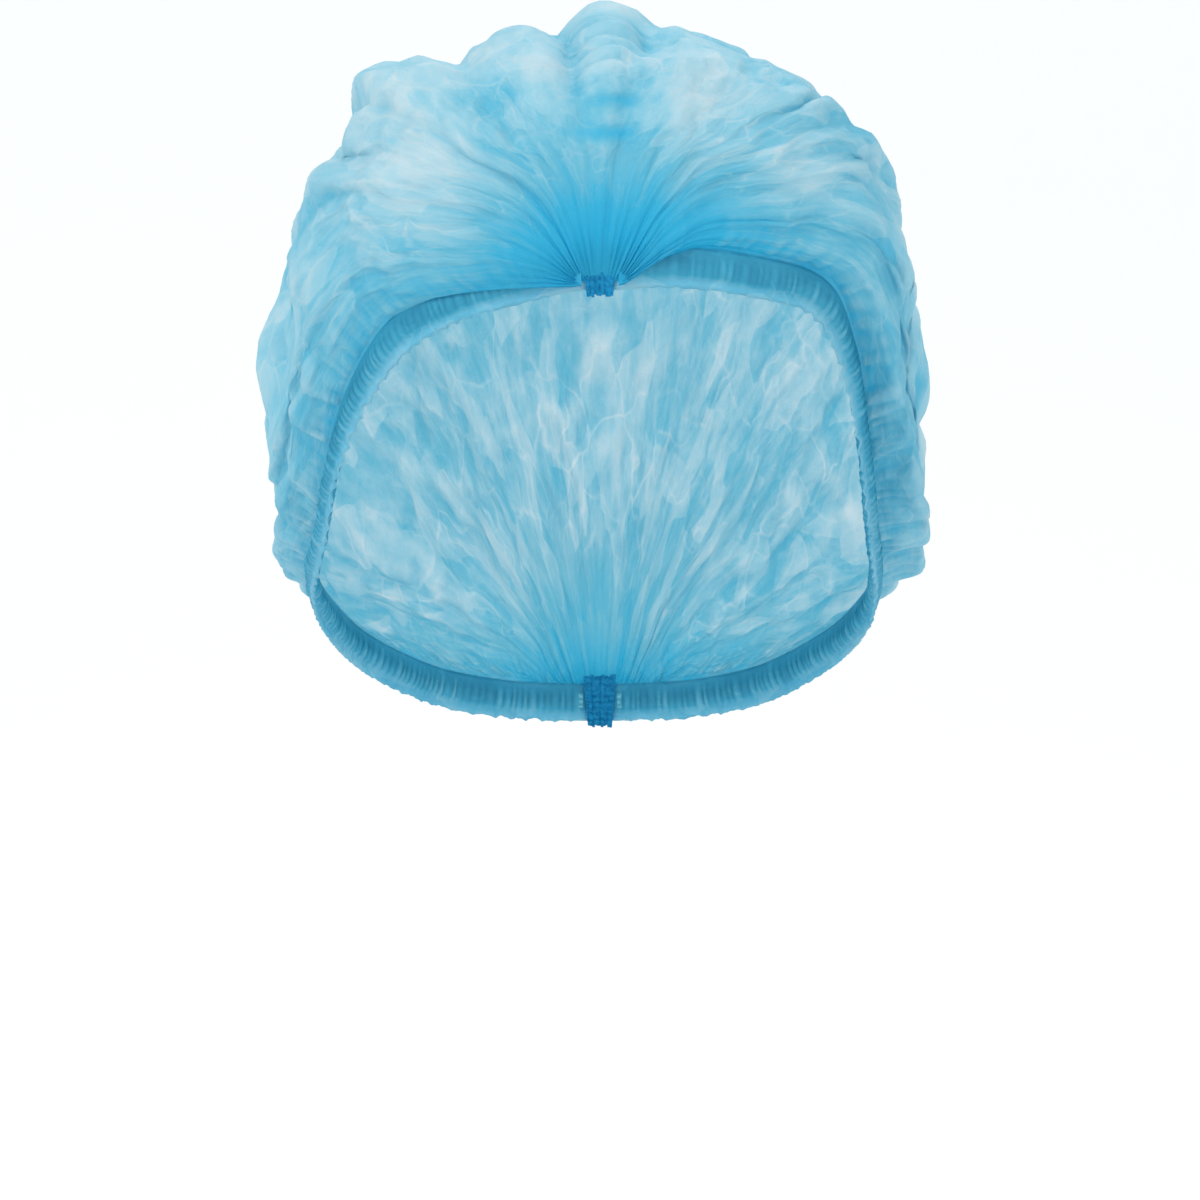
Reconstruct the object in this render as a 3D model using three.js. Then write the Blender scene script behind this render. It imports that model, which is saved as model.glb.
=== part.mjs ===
// A disposable bouffant cap of thin nonwoven cloth, in the shape it takes when it is worn.
// One pleated sheet is gathered into a weld at the front and another at the nape. Its two long
// edges are folded into hems, and a flat elastic runs inside each hem from weld to weld.
// Millimetres. +Z is up, the face looks along -Y, and +X is on the right of someone facing it.
// The origin is the middle of the head opening, halfway between the two welds.
import * as THREE from "three";

// Head opening, measured at the free edge of the hems
const OPENING_HALF_WIDTH = 78;
const OPENING_DEPTH = 172;
const OPENING_DROP = 116;

// Crown, measured to the middle of the cloth between two folds
const CROWN_PUFF = 11;
const CROWN_RISE = 70;
const FRONT_PUFF = 11;
const BACK_PUFF = 23;
const CROWN_FULLNESS = 2.5;
const CLOTH_WALL = 1.5;
const FOLD_HEIGHT = 9.5;
const VALLEY_DEPTH = 1.8;

// Hem and elastic
const HEM_WALL = 1;
const HEM_FLANGE = 2.4;
const HEM_GATHER_PITCH = 6;
const HEM_GATHER_HEIGHT = 0.8;
const ELASTIC_WIDTH = 4.2;
const ELASTIC_THICKNESS = 1.3;
const TUCK_DEPTH = 2.3;

// Welds
const WELD_WIDTH = 9;
const WELD_THICKNESS = 3;
const WELD_ARCH = 2.6;
const WELD_TIP = 1.8;

// Pieces that touch on the real cap stay this far apart
const CLEARANCE = 0.4;

// Mesh steps
const STEPS_PER_ROW = 2;
const ELASTIC_STEPS_PER_ROW = 2;

// Sizes that follow from the ones above
const SLOT_FLOOR = HEM_FLANGE + HEM_WALL;
const ELASTIC_FOOT = SLOT_FLOOR + CLEARANCE;
const TUCK_FOOT = ELASTIC_FOOT + ELASTIC_WIDTH + CLEARANCE;
const HEM_HEIGHT = TUCK_FOOT + TUCK_DEPTH;
const CROWN_FOOT = HEM_HEIGHT + 2 * CLEARANCE;
const SLOT_HALF = Math.max(CLOTH_WALL, ELASTIC_THICKNESS) / 2 + CLEARANCE;
const HEM_HALF = SLOT_HALF + HEM_WALL;
const WELD_EDGE = WELD_WIDTH / 2 + CLEARANCE;
const FRONT_Y = -OPENING_DEPTH / 2;
const FRONT_Z = OPENING_DROP / 2;

const tableOf = (names, rows) =>
  rows.map((row) => Object.fromEntries(names.map((name, i) => [name, row[i]])));

// The free edge from the front weld to the nape weld. Depth is a share of OPENING_DEPTH, left and
// right of OPENING_HALF_WIDTH past the weld's edge, and the drops of OPENING_DROP.
const RIM = tableOf(
  ["depth", "left", "leftDrop", "right", "rightDrop"],
  [
    [0.0, 0.0, 0.0, 0.0, 0.0],
    [0.012, 0.165, 0.022, 0.19, -0.006],
    [0.04, 0.44, 0.07, 0.47, 0.012],
    [0.1, 0.64, 0.14, 0.705, 0.055],
    [0.186, 0.79, 0.26, 0.83, 0.19],
    [0.29, 0.9, 0.41, 0.9, 0.39],
    [0.415, 0.97, 0.59, 0.945, 0.575],
    [0.545, 1.02, 0.7, 0.975, 0.69],
    [0.686, 0.975, 0.79, 0.95, 0.78],
    [0.82, 0.84, 0.88, 0.82, 0.87],
    [0.92, 0.6, 0.955, 0.59, 0.95],
    [0.972, 0.33, 0.99, 0.33, 0.988],
    [0.993, 0.14, 0.998, 0.14, 0.997],
    [1.0, 0.0, 1.0, 0.0, 1.0],
  ],
);

// The line over the middle of the crown, a row for each row of RIM. Depth is a share of
// OPENING_DEPTH, ahead of FRONT_PUFF, behind of BACK_PUFF, rise of CROWN_RISE and fall of
// OPENING_DROP. Flare is the share of CROWN_PUFF that the sides stand out past the rim, and
// belly the share of the section's height at which it is widest.
const RIDGE_LINE = tableOf(
  ["depth", "ahead", "behind", "rise", "fall", "flare", "belly"],
  [
    [0.0, 0.0, 0.0, 0.0, 0.0, 0.05, 0.3],
    [0.0, 0.62, 0.0, 0.3, 0.0, 0.35, 0.3],
    [0.0, 0.95, 0.0, 0.52, 0.0, 0.7, 0.28],
    [0.035, 1.0, 0.0, 0.74, 0.0, 0.9, 0.25],
    [0.115, 0.85, 0.0, 0.91, 0.0, 1.0, 0.2],
    [0.24, 0.55, 0.0, 0.99, 0.0, 1.0, 0.16],
    [0.4, 0.2, 0.0, 1.02, 0.0, 1.0, 0.13],
    [0.585, 0.0, 0.08, 1.0, 0.0, 1.0, 0.12],
    [0.765, 0.0, 0.25, 0.88, 0.0, 1.35, 0.15],
    [0.905, 0.0, 0.6, 0.68, 0.1, 1.5, 0.2],
    [0.975, 0.0, 0.95, 0.4, 0.26, 1.3, 0.26],
    [0.99, 0.0, 0.95, 0.16, 0.55, 0.9, 0.3],
    [0.997, 0.0, 0.5, 0.05, 0.82, 0.4, 0.3],
    [1.0, 0.0, 0.0, 0.0, 1.0, 0.05, 0.3],
  ],
);

// Folds of the crown, each running from the front weld to the nape weld. Share is the place
// between the left hem and the right hem, height a share of FOLD_HEIGHT, swell the share of the
// way back at which the fold stands highest, and drift how far it wanders sideways.
const FOLDS = tableOf(
  ["share", "height", "swell", "drift"],
  [
    [0.06, 0.42, 0.55, 0.004],
    [0.108, 0.4, 0.4, -0.005],
    [0.176, 0.46, 0.6, 0.006],
    [0.236, 0.4, 0.35, -0.006],
    [0.3, 0.22, 0.3, 0.008],
    [0.366, 0.6, 0.5, -0.006],
    [0.45, 0.5, 0.42, 0.006],
    [0.502, 1.0, 0.5, 0.0],
    [0.562, 0.52, 0.45, -0.006],
    [0.645, 0.58, 0.55, 0.007],
    [0.7, 0.24, 0.3, -0.006],
    [0.745, 0.5, 0.45, 0.005],
    [0.8, 0.44, 0.6, -0.005],
    [0.85, 0.46, 0.4, 0.005],
    [0.894, 0.36, 0.6, -0.004],
    [0.942, 0.6, 0.55, 0.004],
  ],
);

const lerp = THREE.MathUtils.lerp;

// A smooth curve through one column of a table, at a place counted in rows.
function columnAt(table, name, place) {
  const last = table.length - 1;
  const i = Math.min(Math.floor(place), last - 1);
  const u = place - i;
  const [before, here, next, after] = [i - 1, i, i + 1, i + 2].map(
    (k) => table[Math.min(Math.max(k, 0), last)][name],
  );
  const slopeHere = (next - before) / 2;
  const slopeNext = (after - here) / 2;
  const u2 = u * u;
  const u3 = u2 * u;
  return (
    (2 * u3 - 3 * u2 + 1) * here +
    (u3 - 2 * u2 + u) * slopeHere +
    (3 * u2 - 2 * u3) * next +
    (u3 - u2) * slopeNext
  );
}

const LAST_ROW = RIM.length - 1;
const STATION_COUNT = LAST_ROW * STEPS_PER_ROW;
const LEFT = { sign: -1, reach: "left", drop: "leftDrop" };
const RIGHT = { sign: 1, reach: "right", drop: "rightDrop" };

// A point on the free edge.
function rimPoint(side, place) {
  const reach = columnAt(RIM, side.reach, place);
  return new THREE.Vector3(
    side.sign * (WELD_EDGE + reach * (OPENING_HALF_WIDTH - WELD_EDGE)),
    FRONT_Y + columnAt(RIM, "depth", place) * OPENING_DEPTH,
    FRONT_Z - columnAt(RIM, side.drop, place) * OPENING_DROP,
  );
}

// The hem's own directions at a place: out from the head, and up along the head. Within a row of
// a weld they turn square to it.
function hemFrame(side, place) {
  const step = 0.05;
  const ahead = rimPoint(side, Math.min(place + step, LAST_ROW));
  const behind = rimPoint(side, Math.max(place - step, 0));
  const awayFromWeld = place < LAST_ROW / 2 ? side.sign : -side.sign;
  const square = Math.max(0, 1 - Math.min(place, LAST_ROW - place));
  const along = ahead.sub(behind).normalize().lerp(new THREE.Vector3(awayFromWeld, 0, 0), square);
  const out = new THREE.Vector3(side.sign * along.y, -side.sign * along.x, 0).normalize();
  const up = new THREE.Vector3().crossVectors(out, along).multiplyScalar(side.sign).normalize();
  return { out, up };
}

// A point of the hem's section: out from its middle plane, and up from its free edge.
function hemPoint(side, place, out, up) {
  const frame = hemFrame(side, place);
  return rimPoint(side, place).addScaledVector(frame.out, out).addScaledVector(frame.up, up);
}

// The top of the crown's section at a place.
function ridgePoint(place) {
  const at = (name) => columnAt(RIDGE_LINE, name, place);
  const arch = CROWN_FOOT + WELD_ARCH;
  return new THREE.Vector3(
    0,
    FRONT_Y + at("depth") * OPENING_DEPTH - at("ahead") * FRONT_PUFF + at("behind") * BACK_PUFF,
    FRONT_Z + arch + at("rise") * (CROWN_RISE - arch) - at("fall") * OPENING_DROP,
  );
}

// A point of the smooth crown, without folds. Share runs from 0 at the left hem to 1 at the right.
function crownPoint(share, place) {
  const side = share < 0.5 ? LEFT : RIGHT;
  const left = hemPoint(LEFT, place, 0, CROWN_FOOT);
  const right = hemPoint(RIGHT, place, 0, CROWN_FOOT);
  const foot = left.clone().lerp(right, share);
  const middle = left.clone().lerp(right, 0.5);
  const rise = ridgePoint(place).sub(middle).setX(0);
  const hemReach = Math.abs((side === LEFT ? left : right).x);
  const reach = hemReach + columnAt(RIDGE_LINE, "flare", place) * CROWN_PUFF;
  const turnAtHem = Math.PI - Math.asin(hemReach / reach);
  const turn = turnAtHem * Math.abs(2 * share - 1);
  const belly = columnAt(RIDGE_LINE, "belly", place);
  const power = 2 / CROWN_FULLNESS;
  const cos = Math.cos(turn);
  const sin = Math.sin(turn);
  const above = turn < Math.PI / 2;
  const across = above ? sin ** power : sin;
  const height = above
    ? belly + (1 - belly) * cos ** power
    : belly * (1 - cos / Math.cos(turnAtHem));
  return new THREE.Vector3(side.sign * reach * across, foot.y, foot.z).addScaledVector(rise, height);
}

// The outward direction of the smooth crown.
function crownNormal(share, place) {
  const shareStep = 0.01;
  const placeStep = 0.12;
  const across = crownPoint(Math.min(share + shareStep, 1), place).sub(
    crownPoint(Math.max(share - shareStep, 0), place),
  );
  const along = crownPoint(share, Math.min(place + placeStep, LAST_ROW)).sub(
    crownPoint(share, Math.max(place - placeStep, 0)),
  );
  return across.cross(along).normalize();
}

// How strongly the folds show at a place: nothing at the welds, all of it over the crown.
function foldStrength(place) {
  return Math.sin(Math.PI * (place / LAST_ROW)) ** 0.8;
}

// The lines that the crown's mesh follows: each fold's crest, its two flanks and the valleys
// between. Each gives its share and its height above the smooth crown at a place.
function foldLines() {
  const crestShare = (fold, place) =>
    fold.share + fold.drift * Math.sin((2 * Math.PI * place) / LAST_ROW);
  const crestHeight = (fold, place) => {
    const swell = Math.cos(Math.PI * (place / LAST_ROW - fold.swell)) ** 2;
    return FOLD_HEIGHT * fold.height * (0.5 + 0.5 * swell) * foldStrength(place);
  };
  const valleyHeight = (place) => -VALLEY_DEPTH * foldStrength(place);
  const edge = (share) => ({ share: () => share, height: () => 0 });
  const lines = [];
  FOLDS.forEach((fold, k) => {
    const before = FOLDS[k - 1];
    const valley = before
      ? {
          share: (p) => (crestShare(before, p) + crestShare(fold, p)) / 2,
          height: valleyHeight,
        }
      : edge(0);
    const crest = { share: (p) => crestShare(fold, p), height: (p) => crestHeight(fold, p) };
    lines.push(valley, crest);
  });
  lines.push(edge(1));
  const flankShare = 0.5;
  const flankHeight = 0.36;
  return lines.flatMap((line, k) => {
    const next = lines[k + 1];
    if (!next) return [line];
    const crestFirst = k % 2 === 1;
    const flank = {
      share: (p) => lerp(line.share(p), next.share(p), flankShare),
      height: (p) =>
        crestFirst
          ? lerp(next.height(p), line.height(p), flankHeight)
          : lerp(line.height(p), next.height(p), flankHeight),
    };
    return [line, flank];
  });
}

// Closes a grid of rings into one solid. Each ring is a loop of points, and the first and last
// rings are capped.
function solidFromRings(rings) {
  const count = rings[0].length;
  const positions = rings.flat().flatMap((p) => [p.x, p.y, p.z]);
  const index = [];
  for (let r = 0; r + 1 < rings.length; r += 1) {
    for (let i = 0; i < count; i += 1) {
      const a = r * count + i;
      const b = r * count + ((i + 1) % count);
      index.push(a, b, b + count, a, b + count, a + count);
    }
  }
  return { positions, index, count, rings: rings.length };
}

// Caps both ends of a swept outline, given the outline's triangles.
function capEnds(swept, triangles) {
  const end = (swept.rings - 1) * swept.count;
  for (const [a, b, c] of triangles) {
    swept.index.push(a, c, b, end + a, end + b, end + c);
  }
  return swept;
}

function geometryOf({ positions, index }) {
  const geometry = new THREE.BufferGeometry();
  geometry.setAttribute("position", new THREE.Float32BufferAttribute(positions, 3));
  geometry.setIndex(index);
  geometry.computeVertexNormals();
  return geometry;
}

// The crown: outer and inner surface of the cloth, closed along both hems and both welds.
function crownGeometry() {
  const lines = foldLines();
  const half = CLOTH_WALL / 2;
  const rings = [];
  for (let station = 0; station <= STATION_COUNT; station += 1) {
    const place = station / STEPS_PER_ROW;
    const tuck = (side, out) => [TUCK_FOOT, CROWN_FOOT].map((up) => hemPoint(side, place, out, up));
    const surface = (offset) =>
      lines.slice(1, -1).map((line) => {
        const share = line.share(place);
        return crownPoint(share, place).addScaledVector(
          crownNormal(share, place),
          line.height(place) + offset,
        );
      });
    const wall = (offset) => [
      ...tuck(LEFT, offset),
      ...surface(offset),
      ...tuck(RIGHT, offset).reverse(),
    ];
    rings.push([...wall(half), ...wall(-half).reverse()]);
  }
  const swept = solidFromRings(rings);
  const across = swept.count / 2;
  const caps = [];
  for (let i = 0; i + 1 < across; i += 1) {
    const [outer, outerNext] = [i, i + 1];
    const [inner, innerNext] = [swept.count - 1 - i, swept.count - 2 - i];
    caps.push([outer, outerNext, innerNext], [outer, innerNext, inner]);
  }
  return geometryOf(capEnds(swept, caps));
}

// Places along one hem, in rows, that are about half a gather's pitch apart. Each of the crown's
// stations is one of them.
function gatherPlaces(side) {
  const places = [0];
  for (let station = 0; station < STATION_COUNT; station += 1) {
    const start = station / STEPS_PER_ROW;
    const end = (station + 1) / STEPS_PER_ROW;
    const run = rimPoint(side, start).distanceTo(rimPoint(side, end));
    const steps = 2 * Math.max(1, Math.round(run / HEM_GATHER_PITCH));
    for (let step = 1; step <= steps; step += 1) {
      places.push(lerp(start, end, step / steps));
    }
  }
  return places;
}

// A point of the hem's section on the straight run between two of the crown's stations, so that
// the slot follows the crown's edge.
function hemPointOnRun(side, place, out, up) {
  const station = Math.min(Math.floor(place * STEPS_PER_ROW), STATION_COUNT - 1);
  const [start, end] = [station, station + 1].map((k) =>
    hemPoint(side, k / STEPS_PER_ROW, out, up),
  );
  return start.lerp(end, place * STEPS_PER_ROW - station);
}

// One hem: a flat flange below a slot that holds the elastic and the crown's edge. Every other
// step is a gather, which stands out and lifts the free edge.
function hemGeometry(side) {
  const flangeHalf = HEM_WALL / 2;
  const shoulder = SLOT_FLOOR - HEM_WALL / 2;
  const rings = gatherPlaces(side).map((place, step) => {
    const gather = step % 2 ? HEM_GATHER_HEIGHT : 0;
    const outline = [
      [flangeHalf + gather, gather],
      [HEM_HALF + gather, shoulder],
      [HEM_HALF + gather / 2, HEM_HEIGHT],
      [SLOT_HALF, HEM_HEIGHT],
      [SLOT_HALF, SLOT_FLOOR],
      [-SLOT_HALF, SLOT_FLOOR],
      [-SLOT_HALF, HEM_HEIGHT],
      [-HEM_HALF, HEM_HEIGHT],
      [-HEM_HALF, shoulder],
      [-flangeHalf + gather, gather],
    ];
    const ring = outline.map(([out, up]) => hemPointOnRun(side, place, out, up));
    return side === LEFT ? ring : ring.reverse();
  });
  const swept = solidFromRings(rings);
  const leftCaps = [
    [0, 1, 9],
    [1, 8, 9],
    [1, 4, 8],
    [1, 2, 4],
    [2, 3, 4],
    [4, 5, 8],
    [5, 7, 8],
    [5, 6, 7],
  ];
  const last = swept.count - 1;
  const caps = side === LEFT ? leftCaps : leftCaps.map((t) => t.map((i) => last - i).reverse());
  return geometryOf(capEnds(swept, caps));
}

// One elastic: a flat strip that lies on the floor of the hem's slot.
function elasticGeometry(side) {
  const half = ELASTIC_THICKNESS / 2;
  const head = ELASTIC_FOOT + ELASTIC_WIDTH;
  const rings = [];
  for (let step = 0; step <= LAST_ROW * ELASTIC_STEPS_PER_ROW; step += 1) {
    const place = step / ELASTIC_STEPS_PER_ROW;
    const ring = [
      hemPointOnRun(side, place, half, ELASTIC_FOOT),
      hemPointOnRun(side, place, half, head),
      hemPointOnRun(side, place, -half, head),
      hemPointOnRun(side, place, -half, ELASTIC_FOOT),
    ];
    rings.push(side === LEFT ? ring : ring.reverse());
  }
  const caps = [
    [0, 1, 2],
    [0, 2, 3],
  ];
  return geometryOf(capEnds(solidFromRings(rings), caps));
}

// One weld: the flat tab in which the stacked pleats end. Its head fits under the crown's arch.
function weldGeometry() {
  const half = WELD_WIDTH / 2;
  const tipHalf = half * 0.8;
  const outline = new THREE.Shape();
  outline.moveTo(-tipHalf, -WELD_TIP);
  outline.lineTo(tipHalf, -WELD_TIP);
  outline.lineTo(half, 0);
  outline.lineTo(half, HEM_HEIGHT);
  outline.absellipse(0, HEM_HEIGHT, half, WELD_ARCH, 0, Math.PI, false);
  outline.lineTo(-half, 0);
  outline.closePath();
  const geometry = new THREE.ExtrudeGeometry(outline, {
    depth: WELD_THICKNESS,
    bevelEnabled: false,
    curveSegments: 6,
  });
  return geometry.translate(0, 0, -WELD_THICKNESS / 2).rotateX(Math.PI / 2);
}

const nonwoven = { color: 0x8fd0e4, roughness: 0.62, metalness: 0, side: THREE.DoubleSide };
const clothMaterial = new THREE.MeshStandardMaterial(nonwoven);
const hemMaterial = new THREE.MeshStandardMaterial({ ...nonwoven, color: 0x4fb6d6 });
const elasticMaterial = new THREE.MeshStandardMaterial({ color: 0x2f96b4, roughness: 0.7 });
const weldMaterial = new THREE.MeshStandardMaterial({ color: 0x1284b4, roughness: 0.45 });

function piece(name, geometry, material) {
  const mesh = new THREE.Mesh(geometry, material);
  mesh.name = name;
  return mesh;
}

const cap = new THREE.Group();
cap.add(piece("crown", crownGeometry(), clothMaterial));
for (const [name, side] of [["left", LEFT], ["right", RIGHT]]) {
  cap.add(piece(`hem_${name}`, hemGeometry(side), hemMaterial));
  cap.add(piece(`elastic_${name}`, elasticGeometry(side), elasticMaterial));
}
for (const [name, place] of [["front", 0], ["nape", LAST_ROW]]) {
  const weld = piece(`weld_${name}`, weldGeometry(), weldMaterial);
  weld.position.copy(rimPoint(LEFT, place).setX(0));
  cap.add(weld);
}

export default cap;
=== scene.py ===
# %% [markdown]
# # A disposable bouffant cap
#
# The real cap is one strip of thin spunbonded polypropylene. It is folded into pleats, its two ends
# are fused into welds, and its long edges are hemmed round an elastic. In wear the pleats open into a
# puffed crown that stays gathered at the front and at the nape.
#
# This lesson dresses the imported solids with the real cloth. First the frame comes in, in metres, with
# +Z up and the front towards -Y, and what follows is placed from the frame's own boxes.

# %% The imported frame
import math
from functools import partial

import bmesh
import bpy
import numpy as np
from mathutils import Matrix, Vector, noise


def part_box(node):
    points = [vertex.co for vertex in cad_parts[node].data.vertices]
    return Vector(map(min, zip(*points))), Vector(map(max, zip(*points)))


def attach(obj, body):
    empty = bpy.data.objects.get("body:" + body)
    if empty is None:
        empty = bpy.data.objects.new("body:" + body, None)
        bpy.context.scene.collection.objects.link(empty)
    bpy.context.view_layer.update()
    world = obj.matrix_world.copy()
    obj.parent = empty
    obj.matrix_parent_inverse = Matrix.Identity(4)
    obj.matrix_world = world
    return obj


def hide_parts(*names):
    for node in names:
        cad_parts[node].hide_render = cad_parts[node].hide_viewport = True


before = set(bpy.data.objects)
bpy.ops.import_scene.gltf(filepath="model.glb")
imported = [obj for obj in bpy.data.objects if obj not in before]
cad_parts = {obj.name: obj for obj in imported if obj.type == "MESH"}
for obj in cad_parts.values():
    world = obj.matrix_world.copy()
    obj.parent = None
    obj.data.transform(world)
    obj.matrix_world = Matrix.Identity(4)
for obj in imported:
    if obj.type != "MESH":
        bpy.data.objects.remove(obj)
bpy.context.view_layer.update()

MM = 0.001
# Keeps a length of zero out of a division
TINY = 1e-9
print("frame nodes:", ", ".join(sorted(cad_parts)))

# %% [markdown]
# ## The sizes that the cloth follows
#
# The cloth has to meet the welds and the rims of the solids exactly. One way is to cast rays at the
# solids. The way used here is to state the same sizes and the same tables of the rim and the ridge
# line as the part, and to read the driving sizes from the boxes of the welds, so that both models
# share one set of curves. The folds have their own table and heights here, because thin cloth
# creases more unevenly than a solid wall.

# %% Sizes from the frame
weld_front_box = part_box("weld_front")
weld_nape_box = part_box("weld_nape")
WELD_WIDTH = (weld_front_box[1].x - weld_front_box[0].x) / MM
OPENING_DEPTH = (weld_nape_box[0].y - weld_front_box[0].y) / MM
OPENING_DROP = (weld_front_box[0].z - weld_nape_box[0].z) / MM
OPENING_HALF_WIDTH = 78.0
CROWN_PUFF = 11.0
CROWN_RISE = 70.0
FRONT_PUFF = 11.0
BACK_PUFF = 23.0
CROWN_FULLNESS = 2.5
WELD_ARCH = 2.6
HEM_HEIGHT = 10.7
TUCK_FOOT = 8.4
CROWN_FOOT = 11.5
WELD_EDGE = WELD_WIDTH / 2 + 0.4
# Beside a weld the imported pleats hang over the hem: how far down, how far out, over how many rows
# of the tables below. They are out in front of it by a third of their way down, and flatten the arch.
WELD_COVER_FOOT = 1.4
WELD_COVER_OUT = 2.4
WELD_COVER_ROWS = 1.5
COVER_OUT_RATE = 3
COVER_FLATTENS = 0.8
# Left of the front weld they hang over more of the hem
FRONT_LEFT_COVER_ROWS = 3.6
FRONT_Y = -OPENING_DEPTH / 2
FRONT_Z = OPENING_DROP / 2
print(f"opening {OPENING_DEPTH:.0f} mm deep with a drop of {OPENING_DROP:.0f} mm")


# %% Tables of the rim and of the ridge line, a row for each section from the front weld to the nape
def table_of(names, rows):
    """Columns of numbers by name, from a text with a line for each row."""
    numbers = np.array([row.split() for row in rows.strip().splitlines()], float)
    return dict(zip(names.split(), numbers.T.copy()))


# Depth is a share of the opening's depth, left and right of its half width, the drops of its drop.
RIM = table_of(
    "depth left left_drop right right_drop",
    """
0 0 0 0 0
0.012 0.165 0.022 0.19 -0.006
0.04 0.44 0.07 0.47 0.012
0.1 0.64 0.14 0.705 0.055
0.186 0.79 0.26 0.83 0.19
0.29 0.9 0.41 0.9 0.39
0.415 0.97 0.59 0.945 0.575
0.545 1.02 0.7 0.975 0.69
0.686 0.975 0.79 0.95 0.78
0.82 0.84 0.88 0.82 0.87
0.92 0.6 0.955 0.59 0.95
0.972 0.33 0.99 0.33 0.988
0.993 0.14 0.998 0.14 0.997
1 0 1 0 1
""",
)

# Flare is how far the sides stand out past the rim, and belly the height at which they do.
RIDGE_LINE = table_of(
    "depth ahead behind rise fall flare belly",
    """
0 0 0 0 0 0.05 0.3
0 0.62 0 0.3 0 0.35 0.3
0 0.95 0 0.52 0 0.7 0.28
0.035 1 0 0.74 0 0.9 0.25
0.115 0.85 0 0.91 0 1 0.2
0.24 0.55 0 0.99 0 1 0.16
0.4 0.2 0 1.02 0 1 0.13
0.585 0 0.08 1 0 1 0.12
0.765 0 0.25 0.88 0 1.35 0.15
0.905 0 0.6 0.68 0.1 1.5 0.2
0.975 0 0.95 0.4 0.26 1.3 0.26
0.99 0 0.95 0.16 0.55 0.9 0.3
0.997 0 0.5 0.05 0.82 0.4 0.3
1 0 0 0 1 0.05 0.3
""",
)

# Share is the place of a fold between the left hem and the right hem, and height a share of the fold
# height. Swell is the share of the way back at which it stands highest, drift its wander, and crease
# how far on towards the next fold the crease between the two lies.
FOLDS = table_of(
    "share height swell drift crease",
    """
0.06 0.42 0.55 0.004 0.5
0.108 0.25 0.4 -0.005 0.5
0.176 0.46 0.6 0.006 0.5
0.236 0.4 0.35 -0.006 0.5
0.29 0.22 0.3 0.008 0.4
0.352 1.25 0.5 -0.006 0.55
0.45 0.55 0.42 0.004 0.64
0.502 1.05 0.5 0 0.4
0.555 0.14 0.45 -0.004 0.5
0.645 0.46 0.55 0.007 0.5
0.7 0.24 0.3 -0.006 0.5
0.745 0.5 0.45 0.005 0.5
0.8 0.44 0.6 -0.005 0.5
0.85 0.46 0.4 0.005 0.5
0.894 0.36 0.6 -0.004 0.4
0.942 1.25 0.42 0.004 0.5
""",
)
LAST_ROW = len(RIM["depth"]) - 1
print(f"{LAST_ROW + 1} sections and {len(FOLDS['share'])} main folds")


# %% Curves through the tables
def column_at(table, name, place):
    """A smooth curve through one column, at places counted in rows."""
    values = table[name]
    last = len(values) - 1
    here = np.clip(np.floor(place).astype(int), 0, last - 1)
    u = place - here
    before, start, end, after = (values[np.clip(here + k, 0, last)] for k in (-1, 0, 1, 2))
    slope_start = (end - before) / 2
    slope_end = (after - start) / 2
    rising = u * u * (3 - 2 * u)
    curve = start + rising * (end - start) + (u**3 - 2 * u**2 + u) * slope_start
    return curve + (u**3 - u**2) * slope_end


def unit(vectors):
    return vectors / np.linalg.norm(vectors, axis=-1, keepdims=True)


def rim_point(side, place):
    """The free edge of the hem. Side is -1 on the left and 1 on the right."""
    name = "left" if side < 0 else "right"
    reach = column_at(RIM, name, place)
    x = side * (WELD_EDGE + reach * (OPENING_HALF_WIDTH - WELD_EDGE))
    y = FRONT_Y + column_at(RIM, "depth", place) * OPENING_DEPTH
    z = FRONT_Z - column_at(RIM, name + "_drop", place) * OPENING_DROP
    return np.stack([x, y, z], -1)


def hem_frame(side, place):
    """Outwards and upwards at the rim. Within a row of a weld they turn square to it."""
    step = 0.05
    along = unit(
        rim_point(side, np.minimum(place + step, LAST_ROW))
        - rim_point(side, np.maximum(place - step, 0.0))
    )
    square = np.maximum(0.0, 1 - np.minimum(place, LAST_ROW - place))[..., None]
    away_from_weld = np.where(place < LAST_ROW / 2, side, -side)[..., None] * np.array([1.0, 0, 0])
    along = along * (1 - square) + away_from_weld * square
    out = unit(np.stack([side * along[..., 1], -side * along[..., 0], 0 * place], -1))
    up = unit(np.cross(out, along) * side)
    return out, up


def hem_point(side, place, out, up):
    frame_out, frame_up = hem_frame(side, place)
    return rim_point(side, place) + frame_out * out + frame_up * up


def weld_cover(side, place):
    """How far the crown hangs over the hem, from 0 to 1 at a weld."""
    front_rows = FRONT_LEFT_COVER_ROWS if side < 0 else WELD_COVER_ROWS
    over = 1 - np.minimum(place / front_rows, (LAST_ROW - place) / WELD_COVER_ROWS)
    over = np.clip(over, 0, 1)
    return (over * over * (3 - 2 * over))[..., None]


def crown_foot(side, place):
    """The crown's lower edge: just above the hem, or in front of it beside a weld."""
    over = weld_cover(side, place)
    foot_out = np.minimum(COVER_OUT_RATE * over, 1) * WELD_COVER_OUT
    foot_up = CROWN_FOOT - over * (CROWN_FOOT - WELD_COVER_FOOT)
    return hem_point(side, place, foot_out, foot_up)


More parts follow.
